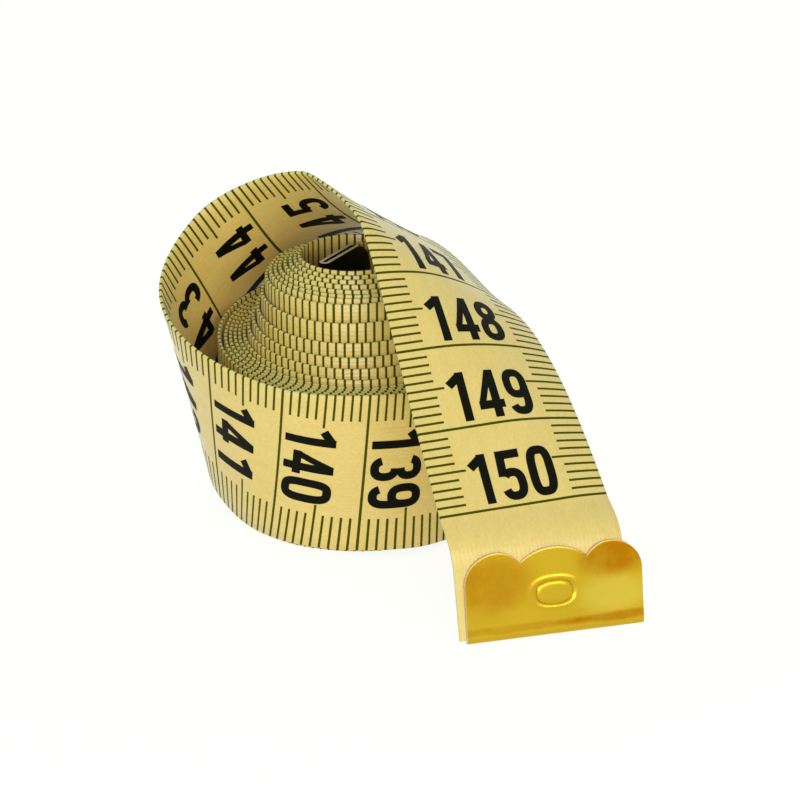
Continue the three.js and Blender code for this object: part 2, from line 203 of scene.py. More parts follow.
class Band:
    """The band's middle face as a function of its printed place and the place across it."""

    def __init__(self, s):
        self.width, self.half = s.width * 1000, s.width * 500
        self.thick = s.thick * 1000
        self.coil = self.wound_path(s)
        self.loose = self.loose_path()
        joint = np.array(HINGE["pos_m"]) * 1000
        self.shift = np.zeros(3)
        self.shift = joint - self.at(FOLD, 0.0)

    def wound_path(self, s):
        """Plan points and lower-edge heights of the coil's middle line, by printed place.

        A straight chord across the hole, an arc onto the first turn, then a spiral whose radius
        grows evenly with the angle, and over its last turns with a power of the angle; its
        centre leans and its lower edge rises towards the core by a table. Slow sine waves of
        the angle make the turns as uneven as hand winding does.
        """
        inner, outer = s.inner_radius * 1000, s.outer_radius * 1000
        lean, rise = s.lean * 1000, s.rise * 1000
        head = math.radians(CHORD_HEADING)
        chord = np.array([math.cos(head), math.sin(head)])
        right = np.array([chord[1], -chord[0]])
        hole = np.array([-lean, 0])
        self.chord, self.chord_right, self.hole = chord, right, hole
        across = START_BEND - CHORD_OFFSET
        along = math.sqrt((inner - START_BEND) ** 2 - across ** 2)
        bend = hole + chord * along + right * across
        first = math.atan2(bend[1] - hole[1], bend[0] - hole[0])
        line = hole + chord * np.linspace(CHORD_INSIDE - CHORD_REACH, along, 60)[:, None] \
            - right * CHORD_OFFSET
        turned = np.linspace(0, head - (first - math.pi / 2), 60)[1:-1]
        arc = bend - START_BEND * np.stack([
            right[0] * np.cos(turned) + right[1] * np.sin(turned),
            right[1] * np.cos(turned) - right[0] * np.sin(turned)], -1)
        sweep = first - math.radians(LOOP_ANGLE) + s.turns * 2 * math.pi
        share = np.linspace(0, 1, s.turns * 300)
        a = first - sweep * share
        turn = sweep * share / (2 * math.pi)
        leaving = np.clip(1 - sweep * (1 - share) / math.radians(LEAVE_ANGLE), 0, 1)
        settled = ease(share * s.turns / 2) * ease((1 - share) * s.turns)
        radius = inner + (outer - inner) * share \
            + (LOOP_RADIUS - outer) * leaving ** LEAVE_POWER \
            + settled * (UNEVEN_THREE * np.sin(3 * a + 0.9 * turn)
                         + UNEVEN_TWO * np.sin(2 * a - 0.7 * turn))
        spiral = np.stack([np.cos(a), np.sin(a)], -1) * radius[:, None] \
            + hole * (1 - share[:, None])
        low = rise * np.interp(share, RISE[:, 0], RISE[:, 1]) + LOOP_FOOT * leaving
        low += settled * UNEVEN_HEIGHT * np.sin(a + 1.3 * turn) * ease((1 - share) * 3)
        low += s.tilt * np.maximum(spiral[:, 1] + TILT_FRONT, 0) \
            * ease((share - TILT_FROM) / TILT_GROWS) \
            * ease(sweep * (1 - share) / math.radians(TILT_ENDS))
        low = np.maximum(low, 0)
        plan = np.concatenate([line, arc, spiral])
        lows = np.concatenate([np.full(len(line) + len(arc), low[0]), low])
        self.core = low[0]
        run = np.r_[0, np.cumsum(np.linalg.norm(np.diff(plan, axis=0), axis=1))]
        return run * LOOSE / run[-1], plan, lows

    def loose_path(self):
        """Middle point, along and across directions and slant at each millimetre of the loose
        band: its turns and slants are the softened stations, each step turns the frame about
        its own slanted line, and the steps' rotations are multiplied up one after another."""
        knots = np.arange(len(STATIONS)) * 10
        run = np.arange(knots[-1] + 1)

        def softened(k):
            """The stations' values at each millimetre, each averaged with its neighbours."""
            row = np.pad(np.interp(run, knots, STATIONS[:, k]), 3, mode="edge")
            return np.convolve(row, SOFTEN, "valid")

        turn, slant = np.radians(softened(0)) / 10, softened(1)
        axis = np.stack([slant, 0 * slant, 1 + 0 * slant], -1)
        size = np.linalg.norm(axis, axis=1)
        x, y, z = (axis / size[:, None]).T
        o, spin = 0 * x, -turn * size
        cross = np.stack([o, -z, y, z, o, -x, -y, x, o], -1).reshape(-1, 3, 3)
        steps = np.eye(3) + np.sin(spin)[:, None, None] * cross \
            + (1 - np.cos(spin))[:, None, None] * (cross @ cross)
        start = math.radians(LOOP_ANGLE)
        head = start - math.pi / 2 + math.radians(LOOP_FLARE)
        t = np.array([math.cos(head), math.sin(head), 0])
        w = np.array([0, 0, 1.0])
        begin = np.stack([t, np.cross(w, t), w], 1)
        frames = np.array(list(itertools.accumulate(steps[:-1], np.matmul, initial=begin)))
        t, w = frames[:, :, 0], frames[:, :, 2]
        foot = np.array([LOOP_RADIUS * math.cos(start), LOOP_RADIUS * math.sin(start),
                         LOOP_FOOT + self.half])
        c = foot + np.concatenate([np.zeros((1, 3)), np.cumsum(t[1:], axis=0)])
        return run, c, t, w, slant

    def ruling(self, place, v):
        """The run whose bending line passes through a printed place: found by halving."""
        run, slant = self.loose[0], self.loose[4]
        low, high = place - self.width, place + self.width
        for _ in range(30):
            mid = (low + high) / 2
            less = mid + v * np.interp(mid, run, slant) < place
            low, high = np.where(less, mid, low), np.where(less, high, mid)
        return (low + high) / 2

    def at(self, place, v):
        """Point of the middle face. On the coil the place gives a plan point and a height. On
        the loose band it is the ruling's point, moved v along the ruling, moved by the nudges,
        and eased into the clip's plane."""
        place, v = np.broadcast_arrays(np.asarray(place, float), np.asarray(v, float))
        scale, plan, lows = self.coil
        wound = np.stack([np.interp(place, scale, plan[:, 0]), np.interp(place, scale, plan[:, 1]),
                          np.interp(place, scale, lows) + self.half + v], -1)
        run, c, t, w, slant = self.loose
        printed = place - LOOSE
        here = self.ruling(printed, v)

        def between(rows):
            """The loose turn's values at these runs, in a straight line from one to the next."""
            return np.stack([np.interp(here, run, rows[:, k]) for k in range(3)], -1)

        point = between(c) + v[..., None] * (
            between(w) + np.interp(here, run, slant)[..., None] * between(t))
        lower = ((self.half - v) / self.width) ** 2
        outward = unit(point[..., :2])
        for line, reach, out, up in NUDGES:
            off = (place / 10 - line) / reach
            share = np.clip(1 - off * off, 0, 1) ** 2 * lower * self.width
            point[..., :2] += outward * (out * share)[..., None]
            point[..., 2] += up * share
        tucked = CLIP_ACROSS * math.cos(TUCK) + CLIP_UP * math.sin(TUCK)
        flat = CLIP_FOOT - CLIP_SHIFT * CLIP_ACROSS - PINCH * v[..., None] * tucked \
            + (TIP - place)[..., None] * np.cross(np.cross(CLIP_ACROSS, CLIP_UP), tucked)
        into = ease((place / 10 - BLANK / 10) / FLATTEN)[..., None]
        free = point * (1 - into) + flat * into
        return np.where((place < LOOSE)[..., None], wound, free) + self.shift

    def normal(self, place, v):
        """The outward direction: across times along, each a difference of nearby points."""
        near = 0.15
        along = self.at(place + near, v) - self.at(place - near, v)
        across = self.at(place, v + near) - self.at(place, v - near)
        return unit(np.cross(across, along))


# The cross-section: places across the two faces, and how far the edges round over
OUTER = np.array([9.9, 8.3, 6.7, 5.65, 4, 2, 0, -2.2, -3.4, -4.55, -5.8, -7.9, -9.9])
INNER = np.array([-9.9, -8.8, -7.7, -7.1, -4.5, -3.2, -2, 1, 3.4, 5.4, 6.4, 8.3, 9.9])
EDGE = np.array([[9.97, 0.72], [10, 0], [9.97, -0.72]])
# Normals lean straight out past the first of these places, and by this share past the second
LEAN_FULL, LEAN_FROM, LEAN_SHARE = 9.95, 9.85, 0.35
# Lines reach this far in from the upper and the lower edge: millimetre lines, then fives
OUTER_REACH = (6.7, 5.65), (-5.8, -4.55)
INNER_REACH = (6.4, 5.4), (-7.7, -7.1)


def profile(splits):
    """Places across and shares of half the thickness round the closed cross-section, with the
    kind of line that inks each stretch of it: 1 every line, 2 fives and tens, 3 tens. Each
    stretch of the two faces is split into this many."""
    outer, inner = (np.interp(np.arange((len(a) - 1) * splits + 1) / splits,
                              np.arange(len(a)), a) for a in (OUTER, INNER))
    v = np.concatenate([outer, -EDGE[:, 0], inner, EDGE[:, 0]])
    off = np.concatenate([np.ones(len(outer)), EDGE[:, 1], -np.ones(len(inner)), -EDGE[:, 1]])
    next_v, next_off = np.roll(v, -1), np.roll(off, -1)
    mid, side = (v + next_v) / 2, np.sign(off + next_off)
    need = np.full(len(v), 3)
    for sign, ((top1, top2), (low1, low2)) in ((1, OUTER_REACH), (-1, INNER_REACH)):
        face = side == sign
        need[face & ((mid > top2) | (mid < low2))] = 2
        need[face & ((mid > top1) | (mid < low1))] = 1
    edge = np.abs(mid) > OUTER[0]
    need[edge] = 1
    return v, off, need, edge


def cross_places(first, last, tick, line, between=0):
    """Places of the cross-sections, two at the sides of each line and some between lines, and
    the kind of line in each interval: 0 none, 1 millimetre, 2 five, 3 ten."""
    line_clear, row_clear = 0.3, 0.2  # to the ends of the strip
    n = np.arange(math.ceil(first), math.floor(last) + 1)
    n = n[(n > first + line_clear) & (n < last - line_clear)]
    half = np.where(n % 10 == 0, line / 2, tick / 2)
    more = [n + (k + 1) / (between + 1) for k in range(between)]
    more = [m[m < last - row_clear] for m in more]
    places = np.sort(np.concatenate([[first, last], n - half, n + half, *more]))
    middle = (places[1:] + places[:-1]) / 2
    near = np.round(middle).astype(int)
    inked = (np.abs(middle - near) < line / 2) & (np.diff(places) < line * 1.05)
    inked &= (near >= 1) & (near <= BLANK)
    kind = np.where(near % 10 == 0, 3, np.where(near % 5 == 0, 2, 1)) * inked
    return places, kind


SHARP = math.radians(50)  # edges with a wider turn stay sharp


def linked(name, data):
    """A new object of this data, in the scene."""
    made = bpy.data.objects.new(name, data)
    bpy.context.scene.collection.objects.link(made)
    return made


def metres(name, points, faces, materials, slots=None, uv=None, normals=None, chart="band_mm"):
    """An object at the origin whose mesh has these points, given in millimetres."""
    mesh = bpy.data.meshes.new(name)
    mesh.from_pydata((np.asarray(points) / 1000).tolist(), [], faces)
    for material in materials:
        mesh.materials.append(material)
    if slots is not None:
        mesh.polygons.foreach_set("material_index", np.asarray(slots, np.int32))
    mesh.polygons.foreach_set("use_smooth", np.ones(len(mesh.polygons), bool))
    if uv is not None:
        corner = np.empty(len(mesh.loops), np.int32)
        mesh.loops.foreach_get("vertex_index", corner)
        layer = mesh.uv_layers.new(name=chart)
        layer.data.foreach_set("uv", np.asarray(uv, np.float32)[corner].ravel())
    mesh.update()
    if normals is not None:
        mesh.normals_split_custom_set_from_vertices(np.asarray(normals, np.float32))
    return linked(name, mesh)


def grid_faces(rows, count, wrap_rows=False, wrap_columns=True):
    """Faces between the neighbours of a grid of points, numbered row by row. Where it wraps,
    the last row or column has the first as its neighbour."""
    i, j = np.meshgrid(np.arange(rows if wrap_rows else rows - 1),
                       np.arange(count if wrap_columns else count - 1), indexing="ij")
    ii, jj = (i + 1) % rows, (j + 1) % count
    corners = [i * count + j, ii * count + j, ii * count + jj, i * count + jj]
    return np.stack(corners, -1).reshape(-1, 4)


def strip(name, band, places, kinds, materials, splits=1):
    """The band between two printed places as a closed thin body: each point is the middle
    face's, moved out by its share of half the thickness. Lines are faces with the ink."""
    v, off, need, edge = profile(splits)
    rows, count = len(places), len(v)
    s, vv = np.broadcast_arrays(places[:, None], v)
    middle, out = band.at(s, vv), band.normal(s, vv)
    points = middle + out * (off * band.thick / 2)[:, None]
    near = 0.1
    across = unit(band.at(s, vv + near) - band.at(s, vv - near))
    lean = np.sign(v) * np.where(np.abs(v) > LEAN_FULL, 1,
                                 np.where(np.abs(v) > LEAN_FROM, LEAN_SHARE, 0))
    facing = unit(out * off[:, None] + across * lean[:, None])
    slots = np.where(kinds[:, None] >= need, 2, np.where(edge, 1, 0))
    faces = grid_faces(rows, count).tolist()
    faces += [list(range(count)), list(range(rows * count - 1, (rows - 1) * count - 1, -1))]
    uv = np.stack([s, vv], -1).reshape(-1, 2)
    return metres(name, points.reshape(-1, 3), faces, materials,
                  np.concatenate([slots.ravel(), [1, 1]]), uv, facing.reshape(-1, 3))


# The numbers: each digit is a few strokes, in a box 1 wide and 2 high

def curve(cx, cy, rx, ry, start, stop, square=2.5, count=24):
    """Points of a rounded-square curve between two angles in degrees: the cosine and sine,
    each to the power of two over squareness, times the radii."""
    a = np.radians(np.linspace(start, stop, count))
    c, s = np.cos(a), np.sin(a)
    return np.stack([cx + rx * np.sign(c) * np.abs(c) ** (2 / square),
                     cy + ry * np.sign(s) * np.abs(s) ** (2 / square)], -1)


def straight(*corners):
    """Points along straight lines from corner to corner, a tenth of a width apart or so."""
    corners = np.array(corners, float)
    parts = [np.linspace(a, b, max(2, int(np.linalg.norm(b - a) / 0.12)))[:-1]
             for a, b in zip(corners[:-1], corners[1:])]
    return np.concatenate(parts + [corners[-1:]])


def digit_strokes(i):
    """Middle lines of the strokes of each digit, for a stroke inset i in a box 1 by 2, and
    whether the line closes on itself. A last number is the stroke's share of full width."""
    x0, x1, y0, y1 = i, 1 - i, i, 2 - i
    rx = 0.5 - i
    six = [(curve(0.5, 0.64, rx, 0.64 - i, 0, 360, 2.6, 34)[:-1], True),
           (np.concatenate([straight((x0, 0.64), (x0, 1.3)),
                            curve(0.5, 1.3, rx, 0.7 - i, 180, 28, 2.6, 18)[1:]]), False)]
    return {
        "0": [(curve(0.5, 1, rx, 1 - i, 0, 360, 3.4, 48)[:-1], True)],
        "1": [(straight((0.66, 0), (0.66, 2)), False),
              (straight((0.64, 1.85), (0.18, 1.5)), False)],
        "2": [(np.concatenate([curve(0.5, 1.36, rx, 0.64 - i, 172, -28, 2.4, 22),
                               straight((x1 - 0.09, 1.06), (x0 + 0.03, 0.36), (x0, y0))]), False),
              (straight((0, y0), (1, y0)), False)],
        "3": [(curve(0.5, 1.5, rx, 0.5 - i, 165, -90, 2.4, 24), False),
              (curve(0.5, 0.56, rx, 0.56 - i, 90, -165, 2.4, 24), False)],
        "4": [(straight((0.68, 0), (0.68, 2)), False),
              (straight((0.635, 1.95), (0.13, 0.62)), False, 0.78),
              (straight((0, 0.54), (1, 0.54)), False)],
        "5": [(straight((0.05, y1), (0.94, y1)), False),
              (straight((x0 + 0.05, y1 + 0.1), (x0, 0.98)), False),
              (curve(0.5, 0.64, rx, 0.64 - i, 140, -160, 2.5, 28), False)],
        "6": six,
        "7": [(straight((0, y1), (1, y1)), False),
              (straight((x1, y1), (0.62, 1.05), (0.4, 0)), False)],
        "8": [(curve(0.5, 1.5, rx - 0.03, 0.5 - i, 0, 360, 2.3, 32)[:-1], True),
              (curve(0.5, 0.57, rx, 0.57 - i, 0, 360, 2.4, 34)[:-1], True)],
        "9": [((1, 2) - points, closed) for points, closed in six],
    }


def ribbon(points, closed, width, low, high):
    """A stroke as a closed thin body: five points across it, two under the cloth's face and
    three on the ink's, carried along the stroke's middle line square to it."""
    if closed:
        ahead, behind = np.roll(points, -1, axis=0), np.roll(points, 1, axis=0)
    else:
        ahead, behind = np.vstack([points[1:], 2 * points[-1:] - points[-2:-1]]), \
            np.vstack([2 * points[:1] - points[1:2], points[:-1]])
    along = unit(ahead - behind)
    side = np.stack([-along[:, 1], along[:, 0]], -1)
    across = np.array([0.5, 0.5, 0, -0.5, -0.5]) * width
    depth = np.array([low, high, high, high, low])
    flat = points[:, None] + side[:, None] * across[:, None]
    rows, count = len(points), len(across)
    faces = np.roll(grid_faces(rows, count, closed)[:, ::-1], 1, axis=1).tolist()
    if not closed:
        end = (rows - 1) * count
        faces += [list(range(count - 1, -1, -1)), list(range(end, end + count))]
    return flat.reshape(-1, 2), np.tile(depth, rows), faces


def joined(parts):
    """Several parts as one: their points, what each point carries, and their faces, numbered
    on from the points of the parts before."""
    points, carried, faces = zip(*parts)
    bases = itertools.accumulate(map(len, points), initial=0)
    return np.concatenate(points), np.concatenate(carried), \
        [[c + base for c in face] for base, group in zip(bases, faces) for face in group]


# The first numbers, and the first of the others that aren't wholly hidden between turns
AT_START, SEEN_AGAIN = range(1, 6), 118
INNER_PITCH = 4.95  # from digit to digit on the inner face, where they stand wider apart
INNER_TALL, INNER_BROAD = 0.94, 1.05  # shares of the outer digits' height and width
INNER_TOP, OUTER_MIDDLE = 4.5, 0.6  # places across the band that the numbers are set by
NUMBER_GAP = 0.65  # from a number to its centimetre line
INK_SUNK, INK_PROUD = -0.06, 0.032  # the ink's two faces, from the cloth's


def numbers(name, band, s, printed, material):
    """The digits of these numbers on both faces. Each digit's flat points are moved to the
    number's place on the scale, and then to the band's face and a little out of it."""
    high, wide = s.digit_height * 1000, s.digit_width * 1000
    gap, stroke = s.digit_gap * 1000, s.stroke * 1000
    shapes = {
        digit: joined([ribbon(line * (wide, high / 2), closed, stroke * (thin[0] if thin else 1),
                              INK_SUNK, INK_PROUD) for line, closed, *thin in strokes])
        for digit, strokes in digit_strokes(stroke / wide / 2).items()}
    parts = []
    for number in printed:
        text = str(number)
        span = len(text) * wide + (len(text) - 1) * gap
        far = INNER_BROAD * wide + (len(text) - 1) * INNER_PITCH
        for face, start, tall, broad, pitch in (
                (1, OUTER_MIDDLE + span / 2, 1, 1, wide + gap),
                (-1, INNER_TOP - far, INNER_TALL, INNER_BROAD, INNER_PITCH)):
            for k, digit in enumerate(text):
                flat, depth, faces = shapes[digit]
                place = number * 10 - NUMBER_GAP - tall * flat[:, 1]
                v = start - face * (k * pitch + broad * flat[:, 0])
                point = band.at(place, v) \
                    + band.normal(place, v) * (face * (band.thick / 2 + depth))[:, None]
                parts.append((point, np.stack([place, v], -1), faces))
    points, uv, faces = joined(parts)
    made = metres(name, points, faces, [material], uv=uv)
    made.data.set_sharp_from_angle(angle=SHARP)
    return made


# Materials

def add(tree, kind, inputs=None, out=0, **settings):
    """Adds a node, sets its own settings, sets or links each input named or numbered, and
    gives back one output, which the node that ends a tree doesn't have."""
    made = tree.nodes.new(kind)
    for key, value in settings.items():
        setattr(made, key, value)
    for key, value in (inputs or {}).items():
        if isinstance(value, bpy.types.NodeSocket):
            tree.links.new(value, made.inputs[key])
        else:
            made.inputs[key].default_value = value
    return made.outputs[out] if made.outputs else None


def blank(name):
    """A new material and its tree, without any nodes."""
    material = bpy.data.materials.new(name)
    material.use_nodes = True
    tree = material.node_tree
    tree.nodes.clear()
    return material, tree


def speckle(tree, place, stretch, detail, roughness=0.5):
    """Noise on a stretched chart, with five times these numbers of grains to a millimetre."""
    chart = add(tree, "ShaderNodeMapping", {"Vector": place, "Scale": stretch})
    return add(tree, "ShaderNodeTexNoise", {"Vector": chart, "Detail": detail,
                                            "Roughness": roughness})


def toned(tree, pattern, tint, **ends):
    """A colour whose Hue, Saturation or Value goes from one end to the other with a pattern
    of 0 to 1."""
    shifts = {}
    for name, (low, high) in ends.items():
        shifts[name] = add(tree, "ShaderNodeMapRange", {"Value": pattern, "To Min": low,
                                                        "To Max": high})
    return add(tree, "ShaderNodeHueSaturation", {"Color": tint, **shifts})


def threads(tree, spacing):
    """Height of a plain weave on the band's own scale: a sine across the band times a sine
    along it, with a little of the sine across alone, as the warp stands proud."""
    place = add(tree, "ShaderNodeUVMap", uv_map="band_mm")
    axes = add(tree, "ShaderNodeSeparateXYZ", {0: place}).node.outputs
    wave = []
    for axis, period in ((0, spacing * 0.9), (1, spacing)):
        phase = add(tree, "ShaderNodeMath", {0: axes[axis], 1: 2 * math.pi / period},
                    operation="MULTIPLY")
        wave.append(add(tree, "ShaderNodeMath", {0: phase}, operation="SINE"))
    over = add(tree, "ShaderNodeMath", {0: wave[0], 1: wave[1]}, operation="MULTIPLY")
    return place, add(tree, "ShaderNodeMath", {0: over, 1: 0.6, 2: wave[1]},
                      operation="MULTIPLY_ADD")


def coated_cloth(s):
    """Woven cloth under a yellow vinyl coating, calendered smooth: the threads show through as
    a faint relief, the coating is satin and its colour drifts a little along the band."""
    material, tree = blank("coated_woven_cloth")
    place, weave = threads(tree, s.thread * 1000)
    cloud = speckle(tree, place, (0.05, 0.16, 1), 3.0)
    drift = toned(tree, cloud, list(s.cloth), Value=(0.93, 1.06), Saturation=(1.05, 0.96))
    grain = speckle(tree, place, (0.42, 0.6, 1), 5.0, 0.65)
    mottle = toned(tree, grain, drift, Hue=(0.518, 0.482), Value=(0.76, 1.24))
    height = add(tree, "ShaderNodeMath", {0: grain, 1: 2.0, 2: weave}, operation="MULTIPLY_ADD")
    bump = add(tree, "ShaderNodeBump", {"Strength": 0.2, "Distance": 0.00004, "Height": height})
    rough = add(tree, "ShaderNodeMapRange", {"Value": grain, "To Min": 0.26, "To Max": 0.46})
    cloth = add(tree, "ShaderNodeBsdfPrincipled", {
        "Base Color": mottle, "Roughness": rough, "Normal": bump, "Specular IOR Level": 0.85,
        "Sheen Weight": 0.5, "Sheen Roughness": 0.35})
    add(tree, "ShaderNodeOutputMaterial", {"Surface": cloth})
    return material


def cut_edge(s):
    """The band's slit edge, sealed pale cream by the coating, with thread ends as fine dots."""
    material, tree = blank("slit_cloth_edge")
    place = add(tree, "ShaderNodeUVMap", uv_map="band_mm")
    grain = speckle(tree, place, (2.2, 1, 1), 3.0)
    bump = add(tree, "ShaderNodeBump", {"Strength": 0.3, "Distance": 0.00005, "Height": grain})
    edge = add(tree, "ShaderNodeBsdfPrincipled", {
        "Base Color": toned(tree, grain, list(s.edge), Value=(0.86, 1.08)), "Roughness": 0.7,
        "Normal": bump})
    add(tree, "ShaderNodeOutputMaterial", {"Surface": edge})
    return material


def ink(name, tint, spacing, thin, roughness):
    """Ink printed by roller onto the coating: it follows the threads, and lies thinner on
    their tops, so the colour varies by the thread."""
    material, tree = blank(name)
    place, weave = threads(tree, spacing)
    grain = speckle(tree, place, (1.1, 1.1, 1), 4.0)
    height = add(tree, "ShaderNodeMath", {0: grain, 1: weave}, operation="ADD")
    bump = add(tree, "ShaderNodeBump", {"Strength": 0.12, "Distance": 0.00004, "Height": height})
    inked = add(tree, "ShaderNodeBsdfPrincipled", {
        "Base Color": toned(tree, grain, list(tint), Value=(1 - thin, 1 + thin)),
        "Roughness": roughness, "Normal": bump, "Specular IOR Level": 0.06})
    add(tree, "ShaderNodeOutputMaterial", {"Surface": inked})
    return material


# Oval patches of the end clip, in millimetres: middle, half width and half height. Each amber
# patch has its strength too
AMBER_PATCHES = [(-6.4, 7, 6.8, 4.6, 0.62), (8, 8.7, 5.6, 3, 0.95), (8.5, 1.7, 10, 0.7, 0.75),
           (-4, 1.7, 13, 0.6, 0.4)]
LIGHT_PATCH = (7.6, 4.3, 6, 2.9)


def patch(tree, place, x, y, wide, high):
    """1 in the middle of an oval patch of the plate, easing to 0 at its edge."""
    off = add(tree, "ShaderNodeVectorMath", {0: place, 1: (x, y, 0)}, operation="SUBTRACT")
    scaled = add(tree, "ShaderNodeVectorMath", {0: off, 1: (1 / wide, 1 / high, 0)},
                 operation="MULTIPLY")
    away = add(tree, "ShaderNodeVectorMath", {0: scaled}, "Value", operation="LENGTH")
    return add(tree, "ShaderNodeMapRange", {"Value": away, "From Min": 1.0, "From Max": 0.35},
               interpolation_type="SMOOTHSTEP")


def brass_plate(s):
    """Bright brass plating on pressed steel: mirror-like but for fine rubbing marks. It is amber
    in patches on the outer lobes and along the foot, and lighter in a patch on the right."""
    material, tree = blank("brass_plated_steel")
    place = add(tree, "ShaderNodeUVMap", uv_map="plate_mm")
    cloud = add(tree, "ShaderNodeTexNoise", {"Vector": place, "Scale": 0.45, "Detail": 5.0,
                                             "Roughness": 0.6})
    push = add(tree, "ShaderNodeVectorMath", {0: cloud.node.outputs["Color"], 1: (1.8, 0.7, 0)},
               operation="MULTIPLY")
    spot = add(tree, "ShaderNodeVectorMath", {0: place, 1: push})
    total = 0.0
    for *oval, much in AMBER_PATCHES:
        total = add(tree, "ShaderNodeMath", {0: patch(tree, spot, *oval), 1: much, 2: total},
                    operation="MULTIPLY_ADD")
    mottle = add(tree, "ShaderNodeMapRange", {"Value": cloud, "To Min": 0.2, "To Max": 1.8})
    amber_share = add(tree, "ShaderNodeMath", {0: total, 1: mottle}, operation="MULTIPLY",
                  use_clamp=True)
    # a Mix's colours go in at 6 and 7 and come out at 2
    shiny = add(tree, "ShaderNodeMix", {0: patch(tree, spot, *LIGHT_PATCH), 6: list(s.plated),
                                        7: list(s.bright)}, 2, data_type="RGBA")
    tone = add(tree, "ShaderNodeMix", {0: amber_share, 6: shiny, 7: list(s.amber)}, 2,
               data_type="RGBA")
    rub = speckle(tree, place, (0.5, 4, 1), 3.0)
    bump = add(tree, "ShaderNodeBump", {"Strength": 0.08, "Distance": 0.00003, "Height": rub})
    rough = add(tree, "ShaderNodeMapRange", {"Value": rub, "To Min": 0.18, "To Max": 0.32})
    plate = add(tree, "ShaderNodeBsdfPrincipled", {
        "Base Color": tone, "Metallic": 1.0, "Roughness": rough, "Normal": bump})
    add(tree, "ShaderNodeOutputMaterial", {"Surface": plate})
    return material


def dark_plate(s):
    """Brass plate coloured nearly black as painted shade, for the shade deep in the coil's hole;
    still a little shiny.
    """
    material, tree = blank("brass_painted_with_shade")
    place = add(tree, "ShaderNodeUVMap", uv_map="plate_mm")
    cloud = add(tree, "ShaderNodeTexNoise", {"Vector": place, "Scale": 0.8, "Detail": 4.0})
    rough = add(tree, "ShaderNodeMapRange", {"Value": cloud, "To Min": 0.3, "To Max": 0.5})
    plate = add(tree, "ShaderNodeBsdfPrincipled", {
        "Base Color": toned(tree, cloud, list(s.dark), Value=(0.7, 1.3)), "Metallic": 1.0,
        "Roughness": rough})
    add(tree, "ShaderNodeOutputMaterial", {"Surface": plate})
    return material


def sheared_steel(s):
    """Bare steel where the plate was sheared: grey, dull and finely scored."""
    material, tree = blank("sheared_steel_edge")
    place = add(tree, "ShaderNodeTexCoord", out="Object")
    score = add(tree, "ShaderNodeTexNoise", {"Vector": place, "Scale": 2600.0, "Detail": 2.0})
    bump = add(tree, "ShaderNodeBump", {"Strength": 0.15, "Distance": 0.00003, "Height": score})
    steel = add(tree, "ShaderNodeBsdfPrincipled", {
        "Base Color": toned(tree, score, list(s.cut), Value=(0.8, 1.08)), "Metallic": 1.0,
        "Roughness": 0.5, "Normal": bump})
    add(tree, "ShaderNodeOutputMaterial", {"Surface": steel})
    return material


# The clips

LOBE_TOP, CUSP, CUSP_HEIGHT = 0.64, 0.38, 8.55  # two shares of the half width, and a height
LEAF_GAP = 0.06  # from the band to each leaf
ROUNDS_FROM = 9.4  # columns of the grid stand closer from here to the plate's side
END_SOFT, START_SOFT = 0.00017, 0.00006  # rounding of each clip's sheared edges, in metres
# The dimple: size, height on the plate and squareness; how far the grid stands closer for it;
# how proud it is and its flat share; and the groove and the lip round it, each as depth or
# height, with its place and width as shares of the dimple
DIMPLE_WIDE, DIMPLE_HIGH, DIMPLE_PLACE, DIMPLE_SQUARE = 4.2, 2.7, 4.9, 2.5
DIMPLE_REACH, PROUD, FLAT_SHARE = 2.6, 0.06, 0.6
GROOVE, LIP = (0.13, 1, 0.09), (0.06, 1.25, 0.16)
# Unevenness of the pressed leaf: a wave's depth, radians to a millimetre, and start
DENT, DENT_WAVE, DENT_START = 0.05, 0.55, 0.6


def lobed_top(x, s):
    """Height of the plate's edge over the place across it: a quarter of an ellipse from each
    side up to the outer lobe's top, arcs down to the cusps, and an arc between them."""
    half, high, side = s.width * 500, s.height * 1000, s.side * 1000
    a = np.abs(x)
    top, cusp, drop = half * LOBE_TOP, half * CUSP, high - CUSP_HEIGHT
    lobe = (top - cusp) ** 2 / (2 * drop) + drop / 2
    crown = cusp ** 2 / (2 * drop) + drop / 2
    outer = side + (high - side) * np.sqrt(np.clip(1 - ((a - top) / (half - top)) ** 2, 0, 1))
    inner = high - lobe + np.sqrt(np.clip(lobe ** 2 - (a - top) ** 2, 0, None))
    middle = high - crown + np.sqrt(np.clip(crown ** 2 - a ** 2, 0, None))
    return np.where(a > top, outer, np.where(a > cusp, inner, middle))


def ring(oval, height, place, width):
    """A ridge round the dimple: the height times a bell curve of the distance out to it."""
    return height * np.exp(-((oval - place) / width) ** 2)


